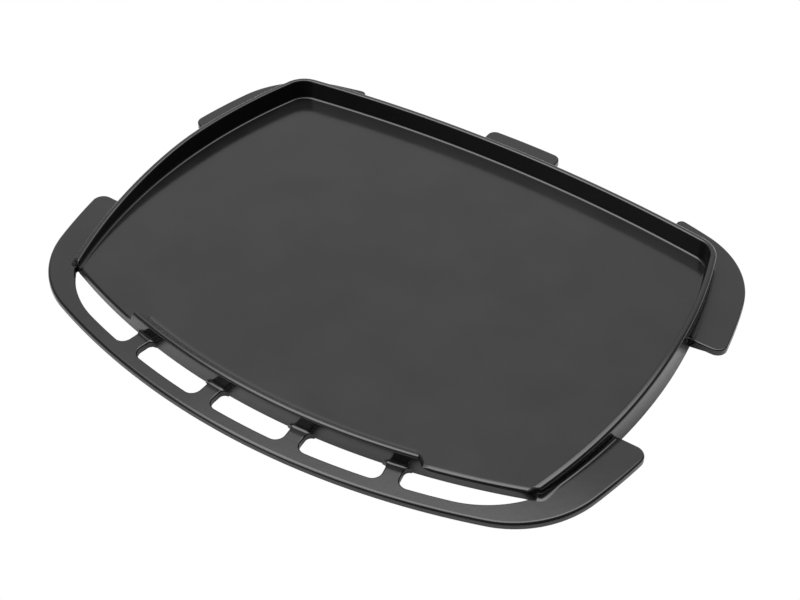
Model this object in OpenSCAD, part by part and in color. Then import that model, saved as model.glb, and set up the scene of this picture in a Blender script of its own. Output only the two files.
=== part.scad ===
// Griddle plate for a camp grill: one enamelled iron casting, drawn region by region.
// +X is to the right seen from the handle rail, +Y to the back, +Z up.
// The origin is under the middle of the plate, on the surface that its skirt stands on.

/* [Pan] */
// Width of the pan between the outer edges of its side rims, at the widest place
pan_w = 398.8; // [360:0.1:430]
// Depth of the pan from the front wall's face to the back rim's outer edge
pan_depth = 295.2; // [265:0.1:320]
// Radius of the side walls' curve, at the rim's outer edge
pan_side_r = 386; // [345:1:440]
// Place of the pan's widest line, measured back from the middle of the plate
pan_side_y = -3.5; // [-15:0.1:12]
// Radius of the back wall's curve, at the rim's outer edge
pan_back_r = 1081; // [950:1:1250]
// Radius of the two back corners, at the rim's outer edge
pan_corner_r = 20; // [14:0.5:26]
// Radius of the front wall's curve
wall_face_r = 486; // [440:0.1:540]

/* [Walls and floor] */
// Height of the skirt's hollow under the floor
skirt_h = 5.7; // [3:0.1:7]
// Thickness of the cooking floor
floor_t = 5; // [4:0.1:6]
// Height of the back rim above the cooking floor
rim_h = 14.1; // [12:0.1:18]
// Height of the side rims' front ends above the cooking floor
rim_front_h = 4.3; // [3.6:0.1:7]
// Length of the side rims' slanted run, measured back from their front ends
taper_len = 133; // [95:1:150]
// Width of the rim's top
rim_t = 4.5; // [3:0.1:5.5]
// How far the inner faces lean in from the rim to the floor
in_lean = 1.2; // [0.4:0.1:2]
// How far the outer faces lean in from the rim to the foot
out_lean = 0.3; // [0.1:0.1:1]
// Radius of the fillet between the walls and the floor
floor_fillet = 1.8; // [1.2:0.1:3]
// Height of the front wall's face below the cooking floor's top
front_t = 7.4; // [6:0.1:8.5]
// Width of the solid front edge, between the floor and the front wall's face
sill_w = 9.5; // [9:0.1:11]

/* [Lip] */
// Height of the lip above the cooking floor
lip_h = 4.8; // [3:0.1:7]
// Width of the lip's top
lip_t = 5; // [3:0.1:5.5]
// How far the lip's top is set back from the front wall's face
lip_back = 2.7; // [1:0.1:3]
// How far the lip's inner face leans
lip_lean = 1; // [0.4:0.1:1.4]
// Angle from the middle of the front to each end of the lip, on the front wall's curve
lip_angle = 13.4; // [12.3:0.1:15]

/* [Rail and slots] */
// Width of the slots between the front wall and the rail
slot_w = 15.5; // [13:0.1:20]
// Width of the handle rail
rail_w = 10; // [7:0.1:14]
// How far the rail's front edge drops below the ears
rail_drop = 4.4; // [2:0.1:6]
// How far behind the side walls' front ends the rail starts to drop
bend_back = 15.4; // [10:0.1:20]
// Height of the rail's underside above the standing surface, at its front edge
rail_clear = 0.3; // [0:0.1:2]
// Angle between one web and the next, on the front wall's curve
web_pitch = 7.8; // [7:0.05:8]
// Width of the webs
web_w = 11.6; // [8:0.1:14]
// Length of each web's stub on the rail, before its round corners begin
web_stub = 0.8; // [0.5:0.1:2]
// Radius of the slots' corners at the front wall
web_root_r = 4; // [2:0.1:5]
// Radius of the slots' corners at the rail
slot_corner_r = 6.5; // [4:0.1:8]
// Angle by which the outer slots begin to narrow before the rail's round corners, on the front curves
crescent_lead = 2.7; // [1.5:0.1:4]
// Radius of the outer slots' narrowing edge
crescent_r = 75.2; // [68:0.1:90]
// Radius of the outer slots' tips
slot_tip_r = 2.5; // [1.5:0.1:3.5]

/* [Ears and tab] */
// Thickness of the ears, the tab and the rail
ear_t = 5; // [3.5:0.1:6]
// How far the ears' outer curve stands out from the side rims
ear_reach = 23.6; // [20:0.1:30]
// How far the tab stands out from the back rim
back_reach = 27.3; // [22:0.1:36]
// Radius of the ears' outer side curve
ear_side_r = 402.5; // [360:0.5:450]
// Place of the ears' widest line, measured back from the middle of the plate
ear_side_y = -1.7; // [-12:0.1:10]
// Radius of the back ears' and tab's outer curve
ear_back_r = 649; // [570:1:760]
// Radius of the four outer corners
ear_corner_r = 70.2; // [64:0.1:76]
// Length of the open notch between the front and back ear of one side
notch_len = 101; // [80:1:120]
// Place of the notch's middle, measured back from the middle of the plate
notch_y = 4.6; // [-8:0.1:14]
// Radius of the front ears' rear corners
front_ear_r = 8; // [3:0.5:9]
// Radius of the back ears' side corners
back_ear_side_r = 7; // [3:0.5:8]
// Distance between the two back ears
back_ear_gap = 266; // [230:1:290]
// Radius of the back ears' inner corners
back_ear_end_r = 4; // [2:0.5:8]
// Width of the tab
tab_w = 59.5; // [40:0.5:90]
// Radius of the tab's corners
tab_r = 6; // [2:0.5:9]

/* [Ledges and ribs] */
// Width of the ledges along the foot of the walls
ledge_w = 2; // [1.2:0.1:3]
// Height of the ledges above the ears and webs
ledge_h = 1.8; // [0.8:0.1:2]
// Width of the locating ribs under the back ears
rib_w = 10.5; // [6:0.1:12]
// Depth of the locating ribs below the back ears
rib_h = 2.2; // [1:0.1:2.9]

/* [Hidden] */

enamel = [0.11, 0.11, 0.115];
web_count = 4;
// Steps of a full turn on the curves
$fn = 720;
// How far cutting shapes run past what they cut
past = 20;
// How far a rounded corner runs past the edges that it joins, so that they meet cleanly
join = 0.004;
// How many radii a corner's cut reaches out from the corner's centre
corner_reach = 3;
// Angle from the middle of the front that lies past the pan's sides, on the front curves
past_angle = 32;

// Heights above the standing surface
floor_z = skirt_h + floor_t;
rim_z = floor_z + rim_h;
rim_front_z = floor_z + rim_front_h;
lip_z = floor_z + lip_h;
ear_z = rail_clear + rail_drop + ear_t;
foot_z = ear_z + ledge_h;

// Places along the depth, with the middle of the plate at 0
half_depth = (pan_depth + back_reach + slot_w + rail_w) / 2;
half_w = pan_w / 2 + ear_reach;
wall_face_y = -half_depth + rail_w + slot_w;
pan_back_y = half_depth - back_reach;
front_ear_end_y = notch_y - notch_len / 2;
back_ear_end_y = notch_y + notch_len / 2;

// Radii of the front curves, which share one centre
slot_r = wall_face_r + slot_w;
rail_r = slot_r + rail_w;
sill_r = wall_face_r - sill_w;

// Centres of the curves; those of the sides are for the right-hand side
front_c = [0, wall_face_y + wall_face_r];
pan_side_c = [pan_w / 2 - pan_side_r, pan_side_y];
pan_back_c = [0, pan_back_y - pan_back_r];
ear_side_c = [half_w - ear_side_r, ear_side_y];
ear_back_c = [0, half_depth - ear_back_r];

// Direction at an angle from the middle of the front curves
function ray(a) = [sin(a), -cos(a)];

// Unit vector from one point towards another
function toward(from, to) = (to - from) / norm(to - from);

// Where two circles cross, on the left (side 1) or right (side -1) of the line from c1 to c2
function crossing(c1, r1, c2, r2, side) =
  let (
    d = norm(c2 - c1),
    along = (r1 * r1 - r2 * r2 + d * d) / (2 * d),
    across = sqrt(r1 * r1 - along * along),
    e = toward(c1, c2)
  )
  c1 + along * e + side * across * [-e[1], e[0]];

// Rounded corner where two curves that bulge outwards cross: centre, radius and edge normals
function corner(c1, r1, c2, r2, r, side) =
  let (c = crossing(c1, r1 - r, c2, r2 - r, side))
  [c, r, toward(c1, c), toward(c2, c)];

// Rounded corner between a curve that bulges outwards and a straight end that faces way:
// the line y = at where way is [0, 1] or [0, -1], or x = at where it is [1, 0] or [-1, 0]
function end_corner(c1, r1, at, way, r) =
  let (
    level = at - r * (way[0] + way[1]),
    c = way[0] == 0
      ? [c1[0] + sqrt(pow(r1 - r, 2) - pow(level - c1[1], 2)), level]
      : [level, c1[1] + sqrt(pow(r1 - r, 2) - pow(level - c1[0], 2))]
  )
  [c, r, way, toward(c1, c)];

function mirrored(c) = [flip(c[0]), c[1], flip(c[2]), flip(c[3])];
function flip(p) = [-p[0], p[1]];

pan_corner = corner(pan_side_c, pan_side_r, pan_back_c, pan_back_r, pan_corner_r, 1);
front_corner = corner(ear_side_c, ear_side_r, front_c, rail_r, ear_corner_r, -1);
back_corner = corner(ear_side_c, ear_side_r, ear_back_c, ear_back_r, ear_corner_r, 1);

// Foot of the side wall's front end, and the line where the front flange starts to drop
wall_end = crossing(pan_side_c, pan_side_r - out_lean, front_c, wall_face_r, -1);
bend_y = wall_end[1] + bend_back;
droop = atan(rail_drop / (bend_y + half_depth));

// Wall section: distances run inwards from the rim's outer edge
lean_angle = atan(in_lean / rim_h);
wall_base = rim_t + in_lean * (rim_h - floor_fillet) / rim_h + floor_fillet / cos(lean_angle);
wall_section = [
  [out_lean, 0],
  [out_lean, foot_z],
  [0, rim_z],
  [rim_t, rim_z],
  [wall_base - floor_fillet * cos(lean_angle), floor_z + floor_fillet * (1 - sin(lean_angle))],
  [wall_base, floor_z],
  [wall_base, 0]
];

// Angles of the wall's runs about their centres
side_stop = atan2(pan_corner[2][1], pan_corner[2][0]);
back_start = atan2(pan_corner[3][1], pan_corner[3][0]);
side_start = atan2(wall_end[1] - past / 2 - pan_side_y, wall_end[0] - pan_side_c[0]);

// Slots: where a web's side meets the round corner at the rail, in the web's own axes
slot_corner_x = web_w / 2 + slot_corner_r;
slot_corner_y = sqrt(pow(slot_r - slot_corner_r, 2) - pow(slot_corner_x, 2));
web_end_r = slot_corner_y - web_stub;

// Outer slots' narrowing edges, and their tips, centred on the wall's curve to end square on it
crescent_angle = atan2(front_corner[3][0], -front_corner[3][1]) - crescent_lead;
crescent_c = front_c + (slot_r - crescent_r) * ray(crescent_angle);
tip_c = crossing(front_c, wall_face_r, crescent_c, crescent_r - slot_tip_r, 1);
tip_in = toward(tip_c, front_c);
tip_along = [tip_in[1], -tip_in[0]];
slot_tip = [tip_c, slot_tip_r, (tip_in + tip_along) / norm(tip_in + tip_along), toward(crescent_c, tip_c)];

function web_angle(i) = (i - (web_count - 1) / 2) * web_pitch;

// Point given in the axes of a web at angle a, with x across it and y out along it
function on_web(a, x, y) = front_c + x * [cos(a), sin(a)] + y * ray(a);

// Rounded slot corner at the rail, beside the web at angle a, on its right (side 1) or left (side -1)
function slot_corner(a, side) =
  let (c = on_web(a, side * slot_corner_x, slot_corner_y))
  [c, slot_corner_r, -side * [cos(a), sin(a)], toward(front_c, c)];

// Rounded slot corner at the front wall, beside the web at angle a
function web_root(a, side) =
  let (
    x = web_w / 2 + web_root_r,
    c = on_web(a, side * x, sqrt(pow(wall_face_r + web_root_r, 2) - x * x))
  )
  [c, web_root_r, -side * [cos(a), sin(a)], toward(c, front_c)];

module disc(c, r) {
  translate(c)
    circle(r);
}

module front_ring(r_in, r_out) {
  difference() {
    disc(front_c, r_out);
    disc(front_c, r_in);
  }
}

// Part of the plan between two angles about the front curves' centre
module front_sector(a0, a1) {
  reach = 2 * rail_r;
  polygon([front_c, front_c + reach * ray(a0), front_c + reach * ray(a1)]);
}

// Rounds the listed corners of its children
module with_corners(corners) {
  difference() {
    children();
    for (c = corners) {
      reach = corner_reach * c[1];
      polygon([c[0], c[0] + reach * c[2], c[0] + reach * (c[2] + c[3]), c[0] + reach * c[3]]);
    }
  }
  for (c = corners)
    disc(c[0], c[1] + join);
}

// Plan of the pan, drawn in by inset from the rim's outer edge, with its front at front_r
module pan_plan(inset, front_r) {
  c = [pan_corner[0], pan_corner_r - inset, pan_corner[2], pan_corner[3]];
  with_corners([c, mirrored(c)])
    intersection() {
      disc(pan_side_c, pan_side_r - inset);
      disc(flip(pan_side_c), pan_side_r - inset);
      disc(pan_back_c, pan_back_r - inset);
      disc(front_c, front_r);
    }
}

// Plan of the oval that the ears, the tab and the rail end on
module outline_plan() {
  corners = [front_corner, back_corner];
  with_corners([for (c = corners) each [c, mirrored(c)]])
    intersection() {
      disc(ear_side_c, ear_side_r);
      disc(flip(ear_side_c), ear_side_r);
      disc(ear_back_c, ear_back_r);
      disc(front_c, rail_r);
    }
}

module foot_plan() {
  pan_plan(out_lean, wall_face_r);
}

// Rectangle in plan from one corner to the other
module area(low, high) {
  translate(low)
    square(high - low);
}

module front_ear_area() {
  area([0, bend_y], [half_w + past, front_ear_end_y]);
}

module back_ear_area() {
  area([back_ear_gap / 2, back_ear_end_y], [half_w + past, half_depth + past]);
}

module front_ear_plan() {
  with_corners([end_corner(ear_side_c, ear_side_r, front_ear_end_y, [0, 1], front_ear_r)])
    intersection() {
      difference() {
        outline_plan();
        foot_plan();
      }
      front_ear_area();
    }
}

module back_ear_plan() {
  with_corners([
    end_corner(ear_side_c, ear_side_r, back_ear_end_y, [0, -1], back_ear_side_r),
    end_corner(ear_back_c, ear_back_r, back_ear_gap / 2, [-1, 0], back_ear_end_r)
  ])
    intersection() {
      difference() {
        outline_plan();
        foot_plan();
      }
      back_ear_area();
    }
}

module tab_plan() {
  c = end_corner(ear_back_c, ear_back_r, tab_w / 2, [1, 0], tab_r);
  with_corners([c, mirrored(c)])
    intersection() {
      difference() {
        outline_plan();
        foot_plan();
      }
      area([-tab_w / 2, 0], [tab_w / 2, half_depth + past]);
    }
}

// Plan of a straight bar at one web, between two radii of the front curves
module bar_plan(i, width, r_in, r_out) {
  intersection() {
    front_ring(r_in, r_out);
    translate(front_c)
      rotate(web_angle(i))
        translate([-width / 2, -rail_r])
          square([width, rail_r]);
  }
}

// Plan of the band at one web that holds the web and its two roots
module web_band(i) {
  bar_plan(i, web_w + 4 * web_root_r, wall_face_r, web_end_r);
}

// Plan of one web, which flares at the front wall
module web_plan(i) {
  difference() {
    web_band(i);
    slots_plan();
  }
}

// Plan of the band that the slots are cut from, with its two narrowing ends
module slot_band() {
  with_corners([slot_tip, mirrored(slot_tip)])
    difference() {
      union() {
        intersection() {
          disc(front_c, slot_r);
          front_sector(-crescent_angle, crescent_angle);
        }
        for (c = [crescent_c, flip(crescent_c)])
          disc(c, crescent_r + join);
      }
      disc(front_c, wall_face_r);
    }
}

module slots_plan() {
  webs = [0 : web_count - 1];
  with_corners([
    for (i = webs, side = [-1, 1])
      each [slot_corner(web_angle(i), side), web_root(web_angle(i), side)]
  ])
    difference() {
      slot_band();
      for (i = webs)
        bar_plan(i, web_w, wall_face_r - past, rail_r);
    }
}

module rail_plan() {
  difference() {
    intersection() {
      outline_plan();
      area([-half_w - past, -half_depth - past], [half_w + past, bend_y]);
    }
    foot_plan();
    slots_plan();
    for (i = [0 : web_count - 1])
      web_band(i);
  }
}

// Slab of the dropping front flange, from one height above its underside to another
module flange_slab(low, high) {
  reach = half_w + past;
  translate([0, bend_y, ear_z])
    rotate([droop, 0, 0])
      translate([-reach, -reach, low - ear_t])
        cube([2 * reach, reach + past, high - low]);
}

// Part of the dropping front flange that lies under or over its children's plan
module on_flange(low, high) {
  intersection() {
    flange_slab(low, high);
    translate([0, 0, -past])
      linear_extrude(rim_z + past)
        children();
  }
}

module wall_run(c, r, start, stop) {
  translate(c)
    rotate([0, 0, start])
      rotate_extrude(angle = stop - start)
        difference() {
          polygon([for (p = wall_section) [r - p[0], p[1]]]);
          translate([r - wall_base, floor_z + floor_fillet])
            circle(floor_fillet + join);
        }
}

// Space above the side rim's slant, over the right-hand half of the plate
module taper_cut() {
  slope = rim_h - rim_front_h;
  start_y = wall_end[1] + taper_len;
  end_y = wall_end[1] - past;
  end_z = rim_front_z - slope * past / taper_len;
  rotate([90, 0, 90])
    linear_extrude(half_w)
      polygon([
        [start_y, rim_z],
        [start_y, rim_z + past],
        [end_y, rim_z + past],
        [end_y, end_z]
      ]);
}

module side_wall() {
  difference() {
    intersection() {
      wall_run(pan_side_c, pan_side_r, side_start, side_stop);
      translate([0, 0, -past])
        linear_extrude(rim_z + 2 * past)
          disc(front_c, wall_face_r);
    }
    taper_cut();
  }
}

module back_corner_wall() {
  wall_run(pan_corner[0], pan_corner_r, side_stop, back_start);
}

// Solid front edge of the floor between two angles, inside the side walls
module front_edge(a0, a1) {
  translate([0, 0, floor_z - front_t])
    linear_extrude(front_t)
      intersection() {
        front_ring(sill_r, wall_face_r);
        front_sector(a0, a1);
        disc(pan_side_c, pan_side_r - wall_base);
        disc(flip(pan_side_c), pan_side_r - wall_base);
      }
}

module cooking_floor() {
  color(enamel)
    translate([0, 0, skirt_h])
      linear_extrude(floor_t)
        pan_plan(wall_base, sill_r);
}

module right_side_wall() {
  color(enamel)
    side_wall();
}

module left_side_wall() {
  color(enamel)
    mirror([1, 0, 0])
      side_wall();
}

module back_wall() {
  color(enamel)
    wall_run(pan_back_c, pan_back_r, back_start, 180 - back_start);
}

module back_right_corner() {
  color(enamel)
    back_corner_wall();
}

module back_left_corner() {
  color(enamel)
    mirror([1, 0, 0])
      back_corner_wall();
}

module front_wall() {
  color(enamel)
    front_edge(-lip_angle, lip_angle);
}

module right_drain_sill() {
  color(enamel)
    front_edge(lip_angle, past_angle);
}

module left_drain_sill() {
  color(enamel)
    front_edge(-past_angle, -lip_angle);
}

module front_lip() {
  top_r = wall_face_r - lip_back;
  color(enamel)
    translate(front_c)
      rotate([0, 0, -90 - lip_angle])
        rotate_extrude(angle = 2 * lip_angle)
          polygon([
            [wall_face_r, floor_z],
            [top_r, lip_z],
            [top_r - lip_t, lip_z],
            [top_r - lip_t - lip_lean, floor_z]
          ]);
}

module handle_rail() {
  color(enamel)
    on_flange(0, ear_t)
      rail_plan();
}

module rail_web(i) {
  color(enamel)
    on_flange(0, ear_t)
      web_plan(i);
}

module web_ledge(i) {
  color(enamel)
    on_flange(ear_t, ear_t + ledge_h)
      bar_plan(i, web_w, wall_face_r, wall_face_r + ledge_w);
}

module ear_plate() {
  translate([0, 0, ear_z - ear_t])
    linear_extrude(ear_t)
      children();
}

module front_right_ear() {
  color(enamel)
    ear_plate()
      front_ear_plan();
}

module front_left_ear() {
  color(enamel)
    mirror([1, 0, 0])
      ear_plate()
        front_ear_plan();
}

module back_right_ear() {
  color(enamel)
    ear_plate()
      back_ear_plan();
}

module back_left_ear() {
  color(enamel)
    mirror([1, 0, 0])
      ear_plate()
        back_ear_plan();
}

module back_tab() {
  color(enamel)
    ear_plate()
      tab_plan();
}

// Band of a given width along the foot of the wall
module foot_band(width) {
  difference() {
    pan_plan(out_lean - width, wall_face_r);
    foot_plan();
  }
}

module front_ledge() {
  translate([0, 0, ear_z])
    linear_extrude(ledge_h)
      intersection() {
        foot_band(ledge_w);
        front_ear_area();
      }
}

module back_ledge() {
  translate([0, 0, ear_z])
    linear_extrude(ledge_h)
      intersection() {
        foot_band(ledge_w);
        back_ear_area();
      }
}

module back_rib() {
  translate([0, 0, ear_z - ear_t - rib_h])
    linear_extrude(rib_h)
      intersection() {
        foot_band(rib_w);
        back_ear_area();
      }
}

module front_right_ledge() {
  color(enamel)
    front_ledge();
}

module front_left_ledge() {
  color(enamel)
    mirror([1, 0, 0])
      front_ledge();
}

module back_right_ledge() {
  color(enamel)
    back_ledge();
}

module back_left_ledge() {
  color(enamel)
    mirror([1, 0, 0])
      back_ledge();
}

module back_right_rib() {
  color(enamel)
    back_rib();
}

module back_left_rib() {
  color(enamel)
    mirror([1, 0, 0])
      back_rib();
}

cooking_floor();
left_side_wall();
right_side_wall();
back_wall();
back_left_corner();
back_right_corner();
front_wall();
front_lip();
left_drain_sill();
right_drain_sill();
handle_rail();
for (i = [0 : web_count - 1]) {
  rail_web(i);
  web_ledge(i);
}
front_left_ear();
front_right_ear();
back_left_ear();
back_right_ear();
back_tab();
front_left_ledge();
front_right_ledge();
back_left_ledge();
back_right_ledge();
back_left_rib();
back_right_rib();
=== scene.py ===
import math

import bpy
import numpy as np
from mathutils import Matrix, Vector
from mathutils.geometry import tessellate_polygon


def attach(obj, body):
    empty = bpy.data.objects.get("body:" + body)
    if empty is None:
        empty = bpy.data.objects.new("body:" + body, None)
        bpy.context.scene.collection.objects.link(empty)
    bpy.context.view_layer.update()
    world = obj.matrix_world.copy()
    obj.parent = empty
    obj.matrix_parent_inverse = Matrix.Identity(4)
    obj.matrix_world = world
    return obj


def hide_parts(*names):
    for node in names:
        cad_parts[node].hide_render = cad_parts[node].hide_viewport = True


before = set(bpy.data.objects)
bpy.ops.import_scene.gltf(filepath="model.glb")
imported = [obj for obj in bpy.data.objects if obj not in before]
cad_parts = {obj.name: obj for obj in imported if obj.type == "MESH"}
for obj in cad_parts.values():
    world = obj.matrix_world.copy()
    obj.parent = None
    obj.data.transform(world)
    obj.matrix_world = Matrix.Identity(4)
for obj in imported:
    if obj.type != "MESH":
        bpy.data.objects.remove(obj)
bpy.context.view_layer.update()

# Camp griddle plate: one black enamelled iron casting, dressed region by region.
# All sizes are in millimetres, in the part's own frame. They repeat those of the CAD source,
# apart from the rim's height and the lip, which follow the photo more closely.
MM = 0.001

# The pan's outline
PAN_W, PAN_DEPTH = 398.8, 295.2
PAN_SIDE_R, PAN_SIDE_Y = 386.0, -3.5
PAN_BACK_R, PAN_CORNER_R = 1081.0, 20.0
WALL_FACE_R = 486.0

# Floor, walls and drain sills
FLOOR_UNDER_Z, FLOOR_Z = 5.7, 10.7
RIM_Z, RIM_FRONT_Z, TAPER_LEN = 25.2, 15.0, 133.0
RIM_T, IN_LEAN, OUT_LEAN = 4.5, 1.2, 0.3
FLOOR_FILLET, FRONT_T, SILL_W = 1.8, 7.4, 9.5

# Lip: its crest's width, the slope behind the crest, and the radius of the hollow at that slope's foot
LIP_H, LIP_ANGLE, LIP_CREST = 7.4, 13.6, 2.6
LIP_SLOPE, LIP_HOLLOW_R = math.radians(52), 10.0

# Handle rail, webs and slots
SLOT_W, RAIL_W, RAIL_DROP, BEND_BACK = 15.5, 10.0, 4.4, 15.4
WEB_PITCH, WEB_W, WEB_STUB = 7.8, 11.6, 0.8
WEB_ROOT_R, SLOT_CORNER_R = 4.0, 6.5
CRESCENT_LEAD, CRESCENT_R, SLOT_TIP_R = 2.7, 75.2, 2.5

# Ears, back tab, foot fillets and ribs
EAR_T, EAR_Z = 5.0, 9.7
EAR_REACH, BACK_REACH = 23.6, 27.3
EAR_SIDE_R, EAR_SIDE_Y = 402.5, -1.7
EAR_BACK_R, EAR_CORNER_R = 649.0, 70.2
NOTCH_LEN, NOTCH_Y = 101.0, 4.6
FRONT_EAR_R, BACK_EAR_SIDE_R = 8.0, 7.0
BACK_EAR_GAP, BACK_EAR_END_R = 266.0, 4.0
TAB_W, TAB_R = 59.5, 6.0
LEDGE_W, LEDGE_H = 2.0, 1.8
RIB_W, RIB_H = 10.5, 2.2

# Rounding left by the mould and the enamel, which the CAD solids leave off
RIM_ROUND, RIM_OUTER_ROUND, END_ROUND = 1.3, 2.3, 1.2
PLATE_ROUND, UNDER_ROUND, RIB_ROUND = 2.2, 1.0, 0.8
LIP_ROUND, CREST_BACK_ROUND = 2.0, 1.2
NOSE_ROUND, NOSE_START_ROUND, FOOT_ROUND = 2.0, 0.4, 0.4
# Share of a plate's rounding that its slots have, and that its outer edges lose towards the back
SLOT_SHARE, BACK_LOSS, LOSS_RUN = 0.5, 0.5, 70.0
# A plate's rounding reaches in by at most this many radii at a sharp corner
CORNER_REACH = 1.5

# The next values give soft forms, which the CAD solids draw with straight lines.

# Radius between a wall's upright foot and its leaning outer face
WALL_BEND_R = 8.0
# How gradually the side rim starts to slant, and the front flange to drop
RIM_BEND_SOFT, FLANGE_BEND_SOFT = 1.2, 30.0
# How far in front of the source's bend line the middle of the flange's soft bend lies
BEND_FORWARD = 6.0
# The side wall's foot is raised at its front end, and comes down between these distances behind it
RAISED_RUN, RAISED_END = 4.0, 18.0
# The front wall's face stands upright up to this height, and then leans back a little into the lip
FACE_BEND_Z, FACE_BEND_R, FACE_LEAN = 7.0, 3.0, math.tan(math.radians(2))
# Length at each end of the lip over which that lean comes in
LEAN_RUN = 5.0
# The drain sill's rough length, its dip towards the nose, and the nose's inner bend and its radius
SILL_RUN, SILL_DIP, NOSE_W, NOSE_BEND_R = 75.0, 0.4, 2.8, 14.0
# Length beside the lip over which the nose and the dip come in, and the share of the dip at the start
NOSE_RUN, DIP_START = 6.0, 0.2
# Steepness of the lip's ends at its front and inside, and the distances inwards between which it changes
LIP_END_STEEP, LIP_END_INNER, LIP_END_FROM, LIP_END_TO = 2.6, 1.4, 4.0, 8.0
# How much the lip's ends draw in on the inside, and how softly they start
LIP_END_BOW, LIP_END_SOFT = 0.06, math.sqrt(0.35)
# How far the lip's body lies under the floor's level, where its ends have run out and at its underside
LIP_SUNK, LIP_UNDER = 0.2, 0.6
# Radius of the foot fillet's way round the side wall's front end, and how much it grows there
TURN_R, TURN_GROWN = 2.0, 2.1
# How far a web's foot fillet reaches past the web's sides
WEB_FOOT_PAST = 1.5
# How far plates run into the wall that carries them, and fillets and ribs into their neighbours
TUCK, SUNK = 3.0, 1.0

HALF_DEPTH = (PAN_DEPTH + BACK_REACH + SLOT_W + RAIL_W) / 2
HALF_W = PAN_W / 2 + EAR_REACH
WALL_FACE_Y = -HALF_DEPTH + RAIL_W + SLOT_W
PAN_BACK_Y = HALF_DEPTH - BACK_REACH
FRONT_EAR_END_Y = NOTCH_Y - NOTCH_LEN / 2
BACK_EAR_END_Y = NOTCH_Y + NOTCH_LEN / 2
SLOT_R = WALL_FACE_R + SLOT_W
RAIL_R = SLOT_R + RAIL_W
SILL_R = WALL_FACE_R - SILL_W
FOOT_Z = EAR_Z + LEDGE_H
LIP_RUN = math.radians(LIP_ANGLE) * WALL_FACE_R
TUCK_SIDE_R = PAN_SIDE_R - OUT_LEAN - TUCK
TUCK_BACK_R = PAN_BACK_R - OUT_LEAN - TUCK
TUCK_CORNER_R = PAN_CORNER_R - OUT_LEAN - TUCK


def point(x, y):
    return np.array([x, y], float)


def toward(start, end):
    """Unit step from one point towards another."""
    return (end - start) / np.linalg.norm(end - start)


def heading(way):
    """Angle of a step, anticlockwise from the x axis."""
    return math.atan2(way[1], way[0])


def turn_between(start, stop):
    """Angle from one heading to another, the shorter way round."""
    return (stop - start + math.pi) % (2 * math.pi) - math.pi


def ray(a):
    """Unit step to the front, swung to the right by an angle."""
    return point(math.sin(a), -math.cos(a))


def crossing(c1, r1, c2, r2, side):
    """Where two circles cross, on the left (1) or right (-1) of the line from c1 to c2."""
    apart = np.linalg.norm(c2 - c1)
    along = (r1 * r1 - r2 * r2 + apart * apart) / (2 * apart)
    across = math.sqrt(r1 * r1 - along * along)
    way = toward(c1, c2)
    return c1 + along * way + side * across * point(-way[1], way[0])


def right_point(c, r, y):
    """Right-hand point of a circle at a given y."""
    return point(c[0] + math.sqrt(r * r - (y - c[1]) ** 2), y)


def back_point(c, r, x):
    """Back point of a circle at a given x."""
    return point(x, c[1] + math.sqrt(r * r - (x - c[0]) ** 2))


def arc(c, r, start, stop, step=2.5):
    """Points on a circle from one heading to another, about step millimetres apart."""
    count = max(5, int(abs(stop - start) * r / step) + 2)
    a = np.linspace(start, stop, count)
    return np.stack([c[0] + r * np.cos(a), c[1] + r * np.sin(a)], 1)


FRONT_C = point(0, WALL_FACE_Y + WALL_FACE_R)
PAN_SIDE_C = point(PAN_W / 2 - PAN_SIDE_R, PAN_SIDE_Y)
PAN_BACK_C = point(0, PAN_BACK_Y - PAN_BACK_R)
EAR_SIDE_C = point(HALF_W - EAR_SIDE_R, EAR_SIDE_Y)
EAR_BACK_C = point(0, HALF_DEPTH - EAR_BACK_R)

PAN_CORNER_C = crossing(PAN_SIDE_C, PAN_SIDE_R - PAN_CORNER_R, PAN_BACK_C, PAN_BACK_R - PAN_CORNER_R, 1)
FRONT_CORNER_C = crossing(EAR_SIDE_C, EAR_SIDE_R - EAR_CORNER_R, FRONT_C, RAIL_R - EAR_CORNER_R, -1)
BACK_CORNER_C = crossing(EAR_SIDE_C, EAR_SIDE_R - EAR_CORNER_R, EAR_BACK_C, EAR_BACK_R - EAR_CORNER_R, 1)
SIDE_STOP = heading(toward(PAN_SIDE_C, PAN_CORNER_C))
BACK_START = heading(toward(PAN_BACK_C, PAN_CORNER_C))

WALL_END = crossing(PAN_SIDE_C, PAN_SIDE_R - OUT_LEAN, FRONT_C, WALL_FACE_R, -1)
BEND_Y = WALL_END[1] + BEND_BACK
DROOP = math.atan(RAIL_DROP / (BEND_Y + HALF_DEPTH))
LEAN_ANGLE = math.atan(IN_LEAN / (RIM_Z - FLOOR_Z))
WALL_BASE = (
    RIM_T
    + IN_LEAN * (RIM_Z - FLOOR_Z - FLOOR_FILLET) / (RIM_Z - FLOOR_Z)
    + FLOOR_FILLET / math.cos(LEAN_ANGLE)
)


def linear(hex_colour):
    """Linear RGBA of an sRGB hex colour."""
    parts = [int(hex_colour[i : i + 2], 16) / 255 for i in (1, 3, 5)]
    return [p / 12.92 if p <= 0.04045 else ((p + 0.055) / 1.055) ** 2.4 for p in parts] + [1.0]


def add_node(tree, kind, settings=None, links=None):
    """Adds a node, sets its properties and input sockets, and links sockets of earlier nodes to it."""
    node = tree.nodes.new(kind)
    for key, value in (settings or {}).items():
        if isinstance(key, str) and hasattr(node, key):
            setattr(node, key, value)
        else:
            node.inputs[key].default_value = value
    for key, source in (links or {}).items():
        tree.links.new(source, node.inputs[key])
    return node


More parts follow.
